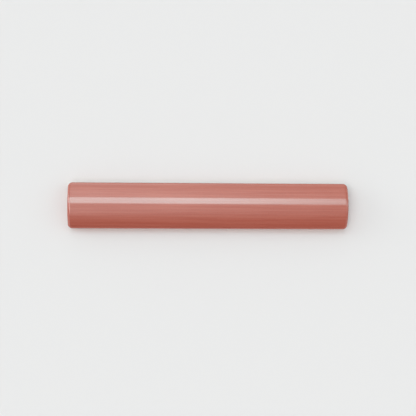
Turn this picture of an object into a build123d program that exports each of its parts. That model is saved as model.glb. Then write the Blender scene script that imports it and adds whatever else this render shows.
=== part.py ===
"""Glazed ceramic moulding tile, one fired piece, lying on its back with the domed face up.

Millimetres. X runs along the bar, Y across it and Z up. The origin is the centre of the flat back.
"""

from build123d import *
import os

# Overall sizes
length = 152.0
width = 25.0
thickness = 12.0

# Domed face: the arc springs from each long edge at this height
edge_thickness = 6.5

# Rounded edges
corner_radius = 2.5
arris_radius = 1.5
back_chamfer = 0.4

# Keying grooves in the back, with flanks drafted so that the press die lets go
groove_count = 4
groove_pitch = 5.5
groove_width = 2.6
groove_depth = 0.9
groove_flank_angle = 70.0

with BuildPart() as tile:
    # Cross-section: flat back, upright long edges, shallow arc over the face
    with BuildSketch(Plane.YZ):
        with BuildLine():
            back = Line((-width / 2, 0), (width / 2, 0))
            upper_edge = Line(back @ 1, (width / 2, edge_thickness))
            dome = ThreePointArc(upper_edge @ 1, (0, thickness), (-width / 2, edge_thickness))
            Line(dome @ 1, back @ 0)
        make_face()
    extrude(amount=length / 2, both=True)

    # Plan corners
    fillet(tile.edges().filter_by(Axis.Z), radius=corner_radius)

    # One continuous arris round the domed face
    fillet(tile.faces().sort_by(Axis.Z)[-1].edges(), radius=arris_radius)

    # Eased edge round the back
    chamfer(tile.faces().sort_by(Axis.Z)[0].edges(), length=back_chamfer)

    # Keying grooves run out through both ends
    with BuildSketch(Plane.YZ):
        with GridLocations(groove_pitch, 0, groove_count, 1):
            Trapezoid(groove_width, groove_depth, groove_flank_angle, align=(Align.CENTER, Align.MIN))
    extrude(amount=length / 2, both=True, mode=Mode.SUBTRACT)

tile.part.label = "moulding_tile"
os.makedirs("parts", exist_ok=True)
export_step(tile.part, "parts/moulding_tile.step")
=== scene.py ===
"""Looks, stage and camera for one glazed ceramic moulding tile, laid out as a Blender add-on.

Metres, in the part's own frame: X along the bar, Y across it, Z up out of the domed face.
"""

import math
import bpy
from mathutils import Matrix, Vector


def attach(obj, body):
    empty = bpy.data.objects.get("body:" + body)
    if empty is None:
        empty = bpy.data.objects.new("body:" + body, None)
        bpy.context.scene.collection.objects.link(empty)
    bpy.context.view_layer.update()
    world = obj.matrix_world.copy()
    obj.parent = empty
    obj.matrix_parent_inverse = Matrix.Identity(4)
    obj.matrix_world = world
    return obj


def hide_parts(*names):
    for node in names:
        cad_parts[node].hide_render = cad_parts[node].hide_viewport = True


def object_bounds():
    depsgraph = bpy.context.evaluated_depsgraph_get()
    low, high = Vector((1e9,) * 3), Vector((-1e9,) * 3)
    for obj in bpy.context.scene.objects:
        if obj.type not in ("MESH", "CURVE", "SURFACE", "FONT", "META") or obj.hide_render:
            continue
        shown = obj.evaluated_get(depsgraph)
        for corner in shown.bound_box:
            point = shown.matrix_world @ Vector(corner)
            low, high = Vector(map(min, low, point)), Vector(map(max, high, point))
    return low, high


bl_info = {
    "name": "Glazed moulding tile",
    "version": (1, 0, 0),
    "blender": (4, 5, 0),
    "location": "3D View > Sidebar > Tile",
    "description": "Builds a glazed ceramic moulding tile and a small studio round it",
    "category": "Object",
}

from typing import NamedTuple

import bpy
import numpy as np
from bpy.props import FloatProperty, FloatVectorProperty, IntProperty, PointerProperty
from mathutils import Matrix, Vector

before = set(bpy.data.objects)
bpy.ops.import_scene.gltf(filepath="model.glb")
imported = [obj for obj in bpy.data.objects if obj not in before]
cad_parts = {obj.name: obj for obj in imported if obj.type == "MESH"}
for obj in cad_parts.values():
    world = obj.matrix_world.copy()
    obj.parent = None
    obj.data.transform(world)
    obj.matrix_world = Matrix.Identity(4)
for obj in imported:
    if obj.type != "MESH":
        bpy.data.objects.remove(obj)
CAD_LOW, CAD_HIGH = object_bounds()
CAD_SIZE = CAD_HIGH - CAD_LOW

MM = 0.001
TILE_NODE = "moulding_tile"
IMAGE_SIDE = 416

# Mesh attributes that the finish reads
GLAZE_DEPTH = "glaze_depth"
ARRIS = "arris"

# How finely the surface is divided
COLUMNS = 300
EVEN_ROWS = 67
CORNER_STEPS = 8
ARRIS_STEPS = 9
WALL_STEPS = 26

# Places along each row of a patch, as shares of the row's reach
ALONG = np.linspace(-1.0, 1.0, COLUMNS + 1)

# A groove edge has a row this far off on each side, and an even row nearer than the clearance is left out
EDGE_ROW = 0.08 * MM
ROW_CLEARANCE = 0.1 * MM

# Power that draws the wall's rows together towards the back
WALL_CROWDING = 1.5

# Waves in each uneven field
WAVE_COUNT = 12

# How far the slow and the fine waves carry the glaze line, as shares of its wander
LINE_SLOW_SHARE = 1.6
LINE_FINE_SHARE = 0.5

# Heights above the glaze line: the bead's middle, and where the lip starts and ends
BEAD_HEIGHT = 0.45 * MM
LIP_START = -0.05 * MM
LIP_END = 0.3 * MM

# How far the arris's thinner glaze reaches, and a depth that counts as clear of glaze and arris
ARRIS_REACH = 0.7 * MM
WELL_CLEAR = 5 * MM

# Shares of the deep glaze colour that each pattern brings in
CLOUD_SHARE = 0.13
STREAK_SHARE = 0.53
MOTTLE_SHARE = 0.16
ARRIS_SHARE = 0.13

# Streaks: their width over their length
STREAK_DRAW = 0.02

# Millimetres above the glaze line: how ragged it is, where cover begins and is full, where thin glaze ends
RAGGED = 0.16
COVER_START = -0.04
COVER_FULL = 0.08
THIN_END = 0.6

# Share of the rim colour right at the line, and of the dark clay in the clay's clouds
RIM_SHARE = 0.75
BODY_SHARE = 0.45

# Pores of the clay: their scale per millimetre, and how far from a cell's middle one is open and is gone
PORE_SCALE = 1.7
PORE_OPEN = 0.08
PORE_GONE = 0.2

# How far the mottle lifts and lowers the roughness, as a share of it
GLOSS_SPREAD = 0.15

# Relief of the bare clay, and the part of it that the glaze's orange peel has
RELIEF_DEPTH = 0.05 * MM
PEEL_SHARE = 0.02

# Floor below the back, and the camera's sensor and reach
FLOOR_GAP = 0.02 * MM
SENSOR_WIDTH = 36.0
NEAREST_SEEN = 0.01
FARTHEST_SEEN = 50.0


def millimetres(name, description, default):
    """A length property with a default in millimetres."""
    return FloatProperty(
        name=name, description=description, default=default * MM, min=0.0, precision=5, unit="LENGTH"
    )


def colour(name, description, default):
    """A colour property, in linear light."""
    return FloatVectorProperty(
        name=name, description=description, default=default, size=3, min=0.0, max=1.0, subtype="COLOR"
    )


class TileShape(bpy.types.PropertyGroup):
    """Sizes of the fired tile, as its section drawing gives them."""

    length: millimetres("Length", "End to end", round(CAD_SIZE.x / MM, 3))
    width: millimetres("Width", "Across the long edges", round(CAD_SIZE.y / MM, 3))
    thickness: millimetres("Thickness", "Back to crown", round(CAD_SIZE.z / MM, 3))
    edge_thickness: millimetres("Edge thickness", "Height at which the dome springs from a long edge", 6.5)
    corner_radius: millimetres("Corner radius", "Rounding of the four corners, seen from the front", 2.5)
    arris_radius: millimetres("Arris radius", "Rounding of the edge round the domed face", 1.5)
    back_chamfer: millimetres("Back chamfer", "Easing of the edge round the back", 0.4)
    groove_count: IntProperty(name="Grooves", description="Keying grooves in the back", default=4, min=0)
    groove_pitch: millimetres("Groove pitch", "Middle to middle", 5.5)
    groove_width: millimetres("Groove width", "Across the mouth", 2.6)
    groove_depth: millimetres("Groove depth", "Back to groove floor", 0.9)
    groove_flank: FloatProperty(
        name="Groove flank", description="Angle of a flank to the back",
        default=math.radians(70), subtype="ANGLE",
    )
    glaze_line: millimetres("Glaze line", "Mean height above the back at which the glaze ends", 1.5)
    glaze_wander: millimetres("Glaze wander", "How far that line rises and falls", 0.35)
    glaze_lip: millimetres("Glaze lip", "How far the glaze stands proud of the bare clay", 0.16)
    glaze_bead: millimetres("Glaze bead", "Swelling of the glaze just above its line", 0.03)
    swell: millimetres("Swell", "Depth of the slow unevenness of the glaze", 0.012)
    press_lines: millimetres("Press lines", "Depth of the faint lines along the bar", 0.0015)


class TileFinish(bpy.types.PropertyGroup):
    """Colours and gloss of the glaze and the clay under it."""

    glaze_pale: colour("Glaze, pale", "Where the glaze is thick and milky", (0.455, 0.114, 0.078))
    glaze_deep: colour("Glaze, deep", "Where the glaze runs thin and clear", (0.373, 0.068, 0.041))
    glaze_rim: colour("Glaze, rim", "Where the glaze thins out at its line", (0.47, 0.17, 0.10))
    clay_pale: colour("Clay, pale", "Fired body", (0.73, 0.55, 0.42))
    # The dark clay colour also serves as painted shade in the clay's pores
    clay_dark: colour("Clay, dark", "Grains and pores of the fired body", (0.50, 0.35, 0.25))
    glaze_roughness: FloatProperty(
        name="Glaze roughness", description="Mean roughness of the gloss", default=0.10, min=0.0, max=1.0
    )
    clay_roughness: FloatProperty(
        name="Clay roughness", description="Roughness of the bare clay", default=0.9, min=0.0, max=1.0
    )
    glaze_ior: FloatProperty(
        name="Glaze IOR", description="Refractive index of the glaze", default=1.9, min=1.0
    )


class TileStudio(bpy.types.PropertyGroup):
    """Floor, light and camera."""

    floor: colour("Floor", "Pale plain floor", (0.725, 0.649, 0.650))
    backdrop: colour("Backdrop", "What the camera sees past the floor", (0.833, 0.832, 0.830))
    light: FloatProperty(name="Light", description="Brightness of the whole studio", default=0.99, min=0.0)
    floor_side: FloatProperty(
        name="Floor side", description="Width of the floor", default=8.0, unit="LENGTH"
    )
    eye: FloatVectorProperty(
        name="Eye", description="Where the camera stands",
        default=(-0.030, -0.00108, 0.550), subtype="XYZ",
    )
    aim: FloatVectorProperty(
        name="Aim", description="Point the camera looks at",
        default=(-0.0006, -0.00108, 0.012), subtype="XYZ",
    )
    roll: FloatProperty(
        name="Roll", description="Turn of the camera about its line of sight",
        default=math.radians(0.27), subtype="ANGLE",
    )
    focal: FloatProperty(
        name="Focal length", description="In pixels of the square image", default=1002.5, min=1.0
    )


def dome_radius(shape):
    """Radius of the arc through both springing lines and the crown."""
    rise = shape.thickness - shape.edge_thickness
    half = shape.width / 2
    return (half * half + rise * rise) / (2 * rise)


def groove_middles(shape):
    """Distances across the back of the grooves' middles, evenly spaced about the centre line."""
    return shape.groove_pitch * (np.arange(shape.groove_count) - (shape.groove_count - 1) / 2)


def groove_rows(shape):
    """Distances across the back of every groove edge, with a close row on each side of it."""
    mouth = shape.groove_width / 2
    foot = mouth - shape.groove_depth / math.tan(shape.groove_flank)
    edges = np.array([-mouth, -foot, foot, mouth])
    close = np.array([-EDGE_ROW, 0.0, EDGE_ROW])
    return (groove_middles(shape)[:, None, None] + edges[None, :, None] + close[None, None, :]).ravel()


def groove_height(shape, across):
    """Height of the back above the floor: zero on the lands, sloping up each flank to the groove floor."""
    from_middle = np.abs(across[:, None] - groove_middles(shape)[None, :]).min(axis=1)
    rise = (shape.groove_width / 2 - from_middle) * math.tan(shape.groove_flank)
    return np.clip(rise, 0.0, shape.groove_depth)


def end_rows(shape):
    """Row positions over the straight part of an end: even ones, and the groove edges between them."""
    straight = shape.width / 2 - shape.corner_radius
    grooves = groove_rows(shape)
    even = np.linspace(-straight, straight, EVEN_ROWS)
    clear = np.abs(even[:, None] - grooves[None, :]).min(axis=1) > ROW_CLEARANCE
    clear[[0, -1]] = True
    return np.sort(np.concatenate([even[clear], grooves]))


class Waves(NamedTuple):
    """Waves of an uneven field: their shortest and longest, and the seed that their directions come from.

    squash multiplies how closely they follow one another along X, Y and Z, so a small first value draws
    them out along the bar.
    """

    shortest: float
    longest: float
    squash: tuple
    seed: int


LINE_SLOW = Waves(9 * MM, 30 * MM, (1, 1, 1), 11)
LINE_FINE = Waves(2.5 * MM, 6 * MM, (1, 1, 1), 12)
GLAZE_SWELL = Waves(14 * MM, 45 * MM, (0.6, 1, 1), 21)
PRESS_LINES = Waves(1.4 * MM, 4 * MM, (0.012, 1, 1), 22)


def uneven(points, waves):
    """Cosine waves of seeded direction, length and phase, averaged: a smooth field from -1 to 1."""
    rng = np.random.default_rng(waves.seed)
    direction = rng.normal(size=(WAVE_COUNT, 3))
    direction /= np.linalg.norm(direction, axis=1, keepdims=True)
    lengths = rng.uniform(waves.shortest, waves.longest, size=(WAVE_COUNT, 1))
    phase = rng.uniform(0.0, 2 * math.pi, size=WAVE_COUNT)
    turns = 2 * math.pi * direction * np.array(waves.squash) / lengths
    return np.cos(points @ turns.T + phase).mean(axis=1)


def smoothstep(low, high, value):
    """0 below low, 1 above high, and an S-shaped rise between them."""
    t = np.clip((value - low) / (high - low), 0.0, 1.0)
    return t * t * (3 - 2 * t)


def glaze_depth(shape, points):
    """Height of each point above the line where the glaze ends, which wanders in slow and fine waves."""
    plan = points * np.array([1.0, 1.0, 0.0])
    wander = LINE_SLOW_SHARE * uneven(plan, LINE_SLOW) + LINE_FINE_SHARE * uneven(plan, LINE_FINE)
    return points[:, 2] - (shape.glaze_line + shape.glaze_wander * wander)


def glaze_sink(shape, points, depth):
    """How far each point sinks, so that the outline stays inside the drawing.

    Glazed points sink by the swell and the press lines, and away from the bead, which is a bell curve of the
    height above the line, by the bead too. Bare points sink by the lip, which an S-curve of it leads into.
    """
    slow = 0.5 + 0.5 * uneven(points, GLAZE_SWELL)
    lines = 0.5 + 0.5 * uneven(points, PRESS_LINES)
    bead = 1 - np.exp(-(((depth - BEAD_HEIGHT) / BEAD_HEIGHT) ** 2))
    bare = 1 - smoothstep(LIP_START, LIP_END, depth)
    sink = shape.swell * slow + shape.press_lines * lines + shape.glaze_bead * bead
    return sink * (1 - bare) + shape.glaze_lip * bare


class Rows(NamedTuple):
    """Rows of both patches, by what lies at each row's right end, from the lower corner to the upper one.

    x and y are the middle of the ball that rounds the arris, and facing is the way that the wall faces, as
    an angle from +X towards +Y.
    """

    x: np.ndarray
    y: np.ndarray
    facing: np.ndarray


def patch_rows(shape):
    """Rows of both patches: a corner, the straight part of an end, and the other corner."""
    straight = end_rows(shape)
    turn = np.linspace(0.0, math.pi / 2, CORNER_STEPS + 1)[1:]
    facing = np.concatenate([-turn[::-1], np.zeros(len(straight)), turn])
    inner = shape.corner_radius - shape.arris_radius
    x = shape.length / 2 - shape.corner_radius + inner * np.cos(facing)
    lower = straight[0] - inner * np.sin(turn[::-1])
    upper = straight[-1] + inner * np.sin(turn)
    return Rows(x, np.concatenate([lower, straight, upper]), facing)


def patch(reach, across, height):
    """Points of a patch, row by row: each row goes as far as its reach to both sides."""
    grid = np.empty((len(reach), len(ALONG), 3))
    grid[..., 0] = reach[:, None] * ALONG[None, :]
    grid[..., 1] = across[:, None]
    grid[..., 2] = height[:, None]
    return grid.reshape(-1, 3)


def dome_patch(shape, rows):
    """Points and normals of the dome, at the height of the arc, out to where the ball touches it."""
    radius = dome_radius(shape)
    axis_height = shape.thickness - radius
    across = rows.y * radius / (radius - shape.arris_radius)
    points = patch(rows.x, across, axis_height + np.sqrt(radius**2 - across**2))
    normals = np.zeros_like(points)
    normals[:, 1] = points[:, 1] / radius
    normals[:, 2] = (points[:, 2] - axis_height) / radius
    return points, normals


def back_patch(shape, rows):
    """Points and normals of the back, flat but for the grooves, out to the chamfer."""
    beyond = shape.arris_radius - shape.back_chamfer
    across = rows.y + beyond * np.sin(rows.facing)
    points = patch(rows.x + beyond * np.cos(rows.facing), across, groove_height(shape, across))
    return points, np.tile([0.0, 0.0, -1.0], (len(points), 1))


def ball_path(shape, rows):
    """Middles of the ball, anticlockwise from the first row's right end, and the wall's normals there."""
    inside = ALONG[1:-1]
    ones = np.ones_like(inside)
    zeros = np.zeros_like(inside)
    x = np.concatenate([rows.x, rows.x[0] * inside[::-1], -rows.x[::-1], rows.x[0] * inside])
    y = np.concatenate([rows.y, rows.y[-1] * ones, rows.y[::-1], rows.y[0] * ones])
    radius = dome_radius(shape)
    z = shape.thickness - radius + np.sqrt((radius - shape.arris_radius) ** 2 - y**2)
    normal_x = np.concatenate([np.cos(rows.facing), zeros, -np.cos(rows.facing[::-1]), zeros])
    normal_y = np.concatenate([np.sin(rows.facing), ones, np.sin(rows.facing[::-1]), -ones])
    return np.stack([x, y, z], axis=1), np.stack([normal_x, normal_y, np.zeros_like(x)], axis=1)


def arris_loops(shape, middles, wall_normal):
    """Points and normals of the arris, loop by loop, turning evenly from the dome's normal to the wall's."""
    radius = dome_radius(shape)
    crown_normal = middles - np.array([0.0, 0.0, shape.thickness - radius])
    crown_normal[:, 0] = 0.0
    crown_normal /= radius - shape.arris_radius
    angle = np.arccos(np.clip((crown_normal * wall_normal).sum(axis=1), -1.0, 1.0))[None, :, None]
    step = (np.arange(1, ARRIS_STEPS + 1) / ARRIS_STEPS)[:, None, None]
    from_crown = np.sin((1 - step) * angle) / np.sin(angle)
    to_wall = np.sin(step * angle) / np.sin(angle)
    normals = from_crown * crown_normal + to_wall * wall_normal
    return middles + shape.arris_radius * normals, normals


def wall_loops(shape, top, wall_normal):
    """Points and normals of the wall under its top loop, loop by loop and closer together towards the back.

    It ends at the chamfer or, across the flat of an end, at a groove.
    """
    across_end = np.isclose(np.abs(wall_normal[:, 0]), 1.0)
    foot = np.maximum(groove_height(shape, top[:, 1]) * across_end, shape.back_chamfer)
    fall = (1 - np.arange(1, WALL_STEPS + 1) / WALL_STEPS) ** WALL_CROWDING
    points = np.repeat(top[None], WALL_STEPS, axis=0)
    points[..., 2] = foot[None, :] + fall[:, None] * (top[:, 2] - foot)[None, :]
    return points, np.repeat(wall_normal[None], WALL_STEPS, axis=0)


def surface_quads(row_count):
    """Quads of the dome, the rim between the patches' borders and the back, in the order of the points."""
    number = np.arange(row_count * len(ALONG)).reshape(row_count, len(ALONG))

    # Border of a patch, anticlockwise from above from the first row's right end
    border = np.concatenate([number[:, -1], number[-1, -2::-1], number[-2::-1, 0], number[0, 1:-1]])
    rim = number.size + np.arange((ARRIS_STEPS + WALL_STEPS) * len(border)).reshape(-1, len(border))
    back_first = number.size + rim.size

    # Rim: each point with the one below it and the two ahead of them
    loops = np.concatenate([border[None], rim, border[None] + back_first])
    ahead = np.roll(loops, -1, axis=1)
    rim_quads = np.stack([loops[:-1], loops[1:], ahead[1:], ahead[:-1]], axis=-1).reshape(-1, 4)

    # Patches: alike, but the back's quads are turned over
    low = number[:-1, :-1].ravel()
    dome_quads = np.stack([low, low + 1, low + len(ALONG) + 1, low + len(ALONG)], axis=1)
    return np.concatenate([dome_quads, rim_quads, dome_quads[:, ::-1] + back_first])


def arris_nearness(dome, arris, wall, back):
    """1 on the arris, fading out over the dome and down the wall, and 0 on the back."""
    edge_x, edge_y = np.abs(dome[:, :2]).max(axis=0)
    away = np.concatenate([
        np.minimum(edge_y - np.abs(dome[:, 1]), edge_x - np.abs(dome[:, 0])),
        np.zeros(arris.shape[0] * arris.shape[1]),
        np.maximum(arris[-1][None, :, 2] - wall[..., 2], 0.0).ravel(),
        np.full(len(back), WELL_CLEAR),
    ])
    return np.exp(-((away / ARRIS_REACH) ** 2))


def tile_surface(shape):
    """Vertices, quads and attributes of the whole fired surface.

    Three grids joined edge to edge. The dome is a patch of rows across Y, each stretched along X to the end
    of its row, at the height of the arc. Round it goes the rim: a ball of the arris radius rolls inside the
    corner between the wall and the dome, and each rim point turns from the dome's normal at the ball to the
    wall's, then runs straight down the wall and in over the chamfer. The back is a patch like the dome,
    flat but for the grooves. The finished points then sink a little along their normals, for the glaze.
    """
    rows = patch_rows(shape)
    dome, dome_normal = dome_patch(shape, rows)
    back, back_normal = back_patch(shape, rows)
    middles, beside = ball_path(shape, rows)
    arris, arris_normal = arris_loops(shape, middles, beside)
    wall, wall_normal = wall_loops(shape, arris[-1], beside)
    points = np.concatenate([dome, arris.reshape(-1, 3), wall.reshape(-1, 3), back])
    normals = np.concatenate([
        dome_normal, arris_normal.reshape(-1, 3), wall_normal.reshape(-1, 3), back_normal
    ])

    # Glaze on the face and sides; the back is all bare and keeps its drawn shape
    depth = glaze_depth(shape, points)
    depth[-len(back):] = -WELL_CLEAR
    sink = glaze_sink(shape, points, depth)
    sink[-len(back):] = 0.0

    attributes = {GLAZE_DEPTH: depth / MM, ARRIS: arris_nearness(dome, arris, wall, back)}
    return points - normals * sink[:, None], surface_quads(len(rows.y)), attributes


def mesh_object(name, points, quads, attributes):
    """A smooth-shaded mesh object at the origin, with one float attribute for each named array."""
    mesh = bpy.data.meshes.new(name)
    mesh.from_pydata(points, [], quads.tolist())
    for key, values in attributes.items():
        layer = mesh.attributes.new(key, "FLOAT", "POINT")
        layer.data.foreach_set("value", values.astype(np.float32))
    mesh.shade_smooth()
    mesh.update()
    made = bpy.data.objects.new(name, mesh)
    bpy.context.scene.collection.objects.link(made)
    return made


def add_node(tree, kind, settings=None, inputs=None):
    """Adds a node, sets its own settings, and gives each named input a value or a link."""
    made = tree.nodes.new(kind)
    for key, value in (settings or {}).items():
        setattr(made, key, value)
    for key, value in (inputs or {}).items():
        if isinstance(value, bpy.types.NodeSocket):
            tree.links.new(value, made.inputs[key])
        else:
            made.inputs[key].default_value = value
    return made


def calculate(tree, operation, *values):
    """A Math node's result."""
    inputs = dict(enumerate(values))
    return add_node(tree, "ShaderNodeMath", {"operation": operation}, inputs).outputs[0]


def noise(tree, vector, scale, detail, roughness=0.5):
    """A noise texture's value, about 0.5 on average."""
    inputs = {"Vector": vector, "Scale": scale, "Detail": detail, "Roughness": roughness}
    return add_node(tree, "ShaderNodeTexNoise", None, inputs).outputs["Fac"]


def remap(tree, value, low, high, to_low=0.0, to_high=1.0, smooth=False):
    """A Map Range node's result, held within its ends."""
    settings = {"interpolation_type": "SMOOTHSTEP" if smooth else "LINEAR"}
    inputs = {"Value": value, "From Min": low, "From Max": high, "To Min": to_low, "To Max": to_high}
    return add_node(tree, "ShaderNodeMapRange", settings, inputs).outputs["Result"]


class Pattern(NamedTuple):
    """A noise pattern: scale per millimetre, detail, roughness, and the values that become 0 and 1."""

    scale: float
    detail: float
    roughness: float
    low: float
    high: float


RAGGED_LINE = Pattern(1.4, 3.0, 0.5, 0.2, 0.8)
CLOUDS = Pattern(0.05, 2.0, 0.5, 0.3, 0.7)
STREAKS = Pattern(1.0, 3.0, 0.6, 0.36, 0.64)
MOTTLE = Pattern(1.1, 3.0, 0.6, 0.3, 0.7)
CLAY_BODY = Pattern(0.35, 5.0, 0.65, 0.3, 0.7)


def patterned(tree, vector, pattern):
    """A noise pattern's share, from 0 to 1."""
    value = noise(tree, vector, pattern.scale, pattern.detail, pattern.roughness)
    return remap(tree, value, pattern.low, pattern.high)


def blend_colours(tree, share, first, second):
    """First colour where share is 0, second where it is 1."""
    made = add_node(tree, "ShaderNodeMix", {"data_type": "RGBA"})
    colours = [s for s in made.inputs if s.type == "RGBA"]
    for socket, value in ((made.inputs[0], share), (colours[0], first), (colours[1], second)):
        if isinstance(value, bpy.types.NodeSocket):
            tree.links.new(value, socket)
        else:
            socket.default_value = value
    return next(s for s in made.outputs if s.type == "RGBA")


def opaque(rgb):
    """Colour with full alpha."""
    return (*rgb, 1.0)


def fired_finish(finish):
    """Glaze over fired clay: one shader whose colour, gloss and bump follow the glaze depth on the mesh."""
    material = bpy.data.materials.new("glaze_on_fired_clay")
    material.use_nodes = True
    tree = material.node_tree
    tree.nodes.clear()
    place = add_node(tree, "ShaderNodeTexCoord").outputs["Object"]
    scaled = {"operation": "SCALE"}
    in_mm = add_node(tree, "ShaderNodeVectorMath", scaled, {0: place, "Scale": 1 / MM}).outputs[0]
    drawn_out = add_node(tree, "ShaderNodeMapping", {"vector_type": "POINT"}, {
        "Vector": in_mm,
        "Scale": (STREAK_DRAW, 1, 1),
    }).outputs["Vector"]
    depth = add_node(tree, "ShaderNodeAttribute", {"attribute_name": GLAZE_DEPTH}).outputs["Fac"]
    arris = add_node(tree, "ShaderNodeAttribute", {"attribute_name": ARRIS}).outputs["Fac"]

    # Where the glaze lies, with a finely ragged line
    ragged = remap(tree, patterned(tree, in_mm, RAGGED_LINE), 0.0, 1.0, -RAGGED, RAGGED)
    ragged_depth = calculate(tree, "ADD", depth, ragged)
    cover = remap(tree, ragged_depth, COVER_START, COVER_FULL, smooth=True)

    # Glaze: slow clouds, streaks along the bar and a fine mottle, deeper on the arris, thin at its line
    clouds = patterned(tree, in_mm, CLOUDS)
    streaks = patterned(tree, drawn_out, STREAKS)
    mottle = patterned(tree, in_mm, MOTTLE)
    tone = calculate(tree, "MULTIPLY", clouds, CLOUD_SHARE)
    for deeper, share in ((streaks, STREAK_SHARE), (mottle, MOTTLE_SHARE), (arris, ARRIS_SHARE)):
        tone = calculate(tree, "MULTIPLY_ADD", deeper, share, tone)
    glaze = blend_colours(tree, tone, opaque(finish.glaze_pale), opaque(finish.glaze_deep))
    thin = remap(tree, ragged_depth, 0.0, THIN_END, RIM_SHARE, 0.0, smooth=True)
    glaze = blend_colours(tree, thin, glaze, opaque(finish.glaze_rim))

    # Clay: cloudy body with darker grains, and open pores painted dark as painted shade in their hollows
    body = patterned(tree, in_mm, CLAY_BODY)
    cells = add_node(tree, "ShaderNodeTexVoronoi", None, {"Vector": in_mm, "Scale": PORE_SCALE})
    pores = remap(tree, cells.outputs["Distance"], PORE_OPEN, PORE_GONE, 1.0, 0.0, smooth=True)
    # Dark clay: the grains' own tone, and painted shade in the pores
    grain_and_pore_shade = calculate(tree, "MAXIMUM", calculate(tree, "MULTIPLY", body, BODY_SHARE), pores)
    clay = blend_colours(tree, grain_and_pore_shade, opaque(finish.clay_pale), opaque(finish.clay_dark))

    # Gloss: nearly even on the glaze, dead matt on the clay
    smoothest = finish.glaze_roughness * (1 - GLOSS_SPREAD)
    roughest = finish.glaze_roughness * (1 + GLOSS_SPREAD)
    gloss = calculate(tree, "MULTIPLY", remap(tree, mottle, 0.0, 1.0, smoothest, roughest), cover)
    matt = remap(tree, cover, 0.0, 1.0, finish.clay_roughness, 0.0)
    roughness = calculate(tree, "ADD", gloss, matt)

    # Relief: faint orange peel on the glaze, grain and pores on the clay
    peel = calculate(tree, "MULTIPLY", noise(tree, in_mm, scale=0.6, detail=1.0), PEEL_SHARE)
    grain = calculate(tree, "SUBTRACT", noise(tree, in_mm, scale=3.0, detail=4.0), pores)
    relief = add_node(tree, "ShaderNodeMix", {"data_type": "FLOAT"}, {0: cover, 2: grain, 3: peel})
    bump = add_node(tree, "ShaderNodeBump", None, {
        "Height": relief.outputs[0],
        "Strength": 1.0,
        "Distance": RELIEF_DEPTH,
    })

    shader = add_node(tree, "ShaderNodeBsdfPrincipled", None, {
        "Base Color": blend_colours(tree, cover, clay, glaze),
        "Roughness": roughness,
        "Normal": bump.outputs["Normal"],
        "IOR": finish.glaze_ior,
    })
    add_node(tree, "ShaderNodeOutputMaterial", None, {"Surface": shader.outputs["BSDF"]})
    return material


class TILE_OT_fired_tile(bpy.types.Operator):
    """Build the fired tile with its glaze and bare back"""

    bl_idname = "tile.fired_tile"
    bl_label = "Fired tile"

    def execute(self, context):
        points, quads, attributes = tile_surface(context.scene.tile_shape)
        tile = mesh_object("glazed_moulding_tile", points, quads, attributes)
        tile.data.materials.append(fired_finish(context.scene.tile_finish))
        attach(tile, "root")
        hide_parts(TILE_NODE)
        return {"FINISHED"}


class Lamp(NamedTuple):
    """A soft lamp far away, by direction.

    sweep gives its level by the angle in degrees from overhead towards +Y, and lean by the angle towards
    +X. skew is how many degrees of sweep it falls back for each degree of lean.
    """

    light: tuple
    sweep: tuple
    lean: tuple
    skew: float = 0.0


LAMPS = {
    "ceiling": Lamp(
        (1.5, 1.6, 1.6),
        ((-68, 0.0), (-55, 0.07), (-43, 0.2), (-31, 0.45), (-24, 0.58), (-16, 0.667), (0, 0.667),
         (10, 0.73), (34, 1.0), (51, 0.91), (64, 0.8), (77, 0.66), (90, 0.6)),
        ((-14, 0.0), (-9, 1.0), (-4.9, 1.0), (2.3, 0.77), (11.3, 0.52), (14, 0.46), (18, 0.0)),
    ),
    "strip": Lamp(
        (1.92, 3.1, 3.19),
        ((6.6, 0.0), (9.6, 1.0), (28.4, 1.0), (31.4, 0.0)),
        ((-88, 0.0), (-74, 0.4), (-60, 0.3), (-45, 0.45), (-30, 0.68), (-15, 0.7), (-3.7, 0.74), (2.4, 1.0),
         (9.8, 0.65), (14, 0.45), (25, 0.36), (50, 0.6), (65, 0.35), (80, 0.0)),
        0.08,
    ),
    "key": Lamp(
        (4.03, 3.86, 3.75),
        ((-44, 0.0), (-34, 0.2), (-24, 0.7), (-15, 1.0), (6, 1.0), (10, 0.35), (30, 0.15), (36, 0.0)),
        ((-45, 0.0), (-18, 1.0), (-12, 1.0), (-9, 0.0)),
    ),
    "left screen": Lamp(
        (1.6, 1.6, 1.6),
        ((-30, 0.0), (-15, 0.9), (0, 1.0), (55, 1.0), (75, 0.0)),
        ((-90, 0.7), (-75, 1.0), (-58, 1.0), (-48, 0.0)),
    ),
    "far wall": Lamp(
        (1.2, 1.2, 1.2),
        ((84, 0.0), (88, 1.0), (90, 1.0)),
        ((-40, 0.0), (-9, 1.0), (-4.9, 1.0), (2.3, 0.85), (11.3, 0.1), (16, 0.0)),
    ),
    "right panel": Lamp(
        (0.9, 0.87, 0.85),
        ((-34, 0.0), (-24, 1.0), (6, 1.0), (11, 0.0)),
        ((15, 0.0), (19, 1.0), (50, 1.0), (80, 0.0)),
    ),
    "side windows": Lamp(
        (2.0, 2.5, 2.45),
        ((25, 0.0), (38, 1.0), (90, 0.8)),
        ((-88, 0.0), (-78, 0.8), (-65, 1.0), (-50, 0.4), (-30, 0.45), (-18, 0.3), (-10, 0.0), (25, 0.0),
         (38, 0.35), (70, 0.3), (85, 0.0)),
    ),
    "front fill": Lamp(
        (0.66, 0.64, 0.62),
        ((-90, 1.0), (-50, 1.0), (-30, 0.0)),
        ((-85, 0.0), (-60, 1.0), (-14, 1.0), (-9, 0.0), (16, 0.0), (22, 0.7), (60, 0.7), (85, 0.0)),
    ),
    "cove": Lamp(
        (0.45, 0.45, 0.45),
        ((-90, 1.0), (90, 1.0)),
        ((-90, 1.0), (-75, 0.8), (-50, 0.0), (50, 0.0), (75, 0.8), (90, 1.0)),
    ),
    "room": Lamp((0.14, 0.14, 0.14), ((-90, 1.0), (90, 1.0)), ((-90, 1.0), (90, 1.0))),
}


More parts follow.
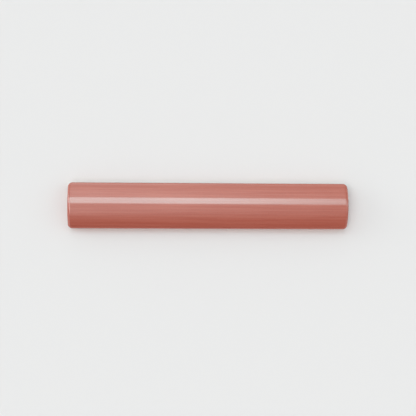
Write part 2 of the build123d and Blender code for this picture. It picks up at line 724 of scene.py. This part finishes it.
def level_ramp(tree, degrees, stops):
    """A ramp through the stops, each an angle from -90 to 90 degrees and a level."""
    made = add_node(tree, "ShaderNodeValToRGB", None, {"Fac": remap(tree, degrees, -90.0, 90.0)})
    elements = made.color_ramp.elements
    while len(elements) < len(stops):
        elements.new(1.0)
    for element, (angle, level) in zip(elements, stops):
        element.position = 0.5 + angle / 180.0
        element.color = (level, level, level, 1.0)
    return made.outputs["Color"]


def studio_world(studio):
    """Soft lamps all round, by direction; the camera itself sees only the plain backdrop."""
    world = bpy.data.worlds.new("soft_studio")
    world.use_nodes = True
    tree = world.node_tree
    tree.nodes.clear()
    way = add_node(tree, "ShaderNodeTexCoord").outputs["Generated"]
    part = add_node(tree, "ShaderNodeSeparateXYZ", None, {0: way}).outputs
    sweep = calculate(tree, "DEGREES", calculate(tree, "ARCTAN2", part["Y"], part["Z"]))
    upright = calculate(tree, "SQRT", calculate(
        tree, "MULTIPLY_ADD", part["Y"], part["Y"], calculate(tree, "MULTIPLY", part["Z"], part["Z"])
    ))
    lean = calculate(tree, "DEGREES", calculate(tree, "ARCTAN2", part["X"], upright))
    total = (0.0, 0.0, 0.0)
    for lamp in LAMPS.values():
        skewed = calculate(tree, "MULTIPLY_ADD", lean, lamp.skew, sweep)
        by_sweep = level_ramp(tree, skewed, lamp.sweep)
        by_lean = level_ramp(tree, lean, lamp.lean)
        level = calculate(tree, "MULTIPLY", by_sweep, by_lean)
        inputs = {0: lamp.light, 1: level, 2: total}
        total = add_node(tree, "ShaderNodeVectorMath", {"operation": "MULTIPLY_ADD"}, inputs).outputs[0]
    lit = add_node(tree, "ShaderNodeBackground", None, {"Color": total, "Strength": studio.light})
    seen = add_node(tree, "ShaderNodeBackground", None, {"Color": opaque(studio.backdrop)})
    direct = add_node(tree, "ShaderNodeLightPath").outputs["Is Camera Ray"]
    both = add_node(tree, "ShaderNodeMixShader", None, {0: direct, 1: lit.outputs[0], 2: seen.outputs[0]})
    add_node(tree, "ShaderNodeOutputWorld", None, {"Surface": both.outputs[0]})
    return world


def studio_floor(studio):
    """A wide plain floor just under the tile's back."""
    plan = np.array([(-1, -1), (1, -1), (1, 1), (-1, 1)]) * studio.floor_side / 2
    corners = np.column_stack([plan, np.full(len(plan), -FLOOR_GAP)])
    floor = mesh_object("floor", corners, np.array([[0, 1, 2, 3]]), {})
    material = bpy.data.materials.new("pale_floor")
    material.use_nodes = True
    shader = material.node_tree.nodes["Principled BSDF"]
    shader.inputs["Base Color"].default_value = opaque(studio.floor)
    shader.inputs["Roughness"].default_value = 1.0
    shader.inputs["Specular IOR Level"].default_value = 0.0
    floor.data.materials.append(material)


def studio_camera(studio):
    """Camera at the eye, looking at the aim, with the image's up along +Y but for the roll."""
    data = bpy.data.cameras.new("camera")
    data.sensor_width = SENSOR_WIDTH
    data.lens = studio.focal * SENSOR_WIDTH / IMAGE_SIDE
    data.clip_start = NEAREST_SEEN
    data.clip_end = FARTHEST_SEEN
    camera = bpy.data.objects.new("camera", data)
    bpy.context.scene.collection.objects.link(camera)
    back = (Vector(studio.eye) - Vector(studio.aim)).normalized()
    right = Vector((0.0, 1.0, 0.0)).cross(back).normalized()
    up = back.cross(right)
    turned = Matrix((right, up, back)).transposed().to_4x4()
    camera.matrix_world = Matrix.Translation(studio.eye) @ turned @ Matrix.Rotation(studio.roll, 4, "Z")
    return camera


class TILE_OT_studio(bpy.types.Operator):
    """Set the floor, the soft light and the camera"""

    bl_idname = "tile.studio"
    bl_label = "Studio"

    def execute(self, context):
        studio = context.scene.tile_studio
        studio_floor(studio)
        context.scene.world = studio_world(studio)
        context.scene.camera = studio_camera(studio)
        context.scene.view_settings.view_transform = "Standard"
        return {"FINISHED"}


class TILE_PT_panel(bpy.types.Panel):
    """Sizes, finish and studio of the tile"""

    bl_idname = "TILE_PT_panel"
    bl_label = "Moulding tile"
    bl_space_type = "VIEW_3D"
    bl_region_type = "UI"
    bl_category = "Tile"

    def draw(self, context):
        for group in (context.scene.tile_shape, context.scene.tile_finish, context.scene.tile_studio):
            box = self.layout.box()
            for key in group.__annotations__:
                box.prop(group, key)
        self.layout.operator(TILE_OT_fired_tile.bl_idname)
        self.layout.operator(TILE_OT_studio.bl_idname)


CLASSES = (TileShape, TileFinish, TileStudio, TILE_OT_fired_tile, TILE_OT_studio, TILE_PT_panel)


def register():
    """Add the classes, and the tile's settings to every scene."""
    for made in CLASSES:
        bpy.utils.register_class(made)
    bpy.types.Scene.tile_shape = PointerProperty(type=TileShape)
    bpy.types.Scene.tile_finish = PointerProperty(type=TileFinish)
    bpy.types.Scene.tile_studio = PointerProperty(type=TileStudio)


def unregister():
    """Take the settings and the classes away again."""
    del bpy.types.Scene.tile_studio
    del bpy.types.Scene.tile_finish
    del bpy.types.Scene.tile_shape
    for made in reversed(CLASSES):
        bpy.utils.unregister_class(made)


def main():
    """Build the tile and its studio."""
    register()
    bpy.ops.tile.fired_tile()
    bpy.ops.tile.studio()


if __name__ == "__main__":
    main()
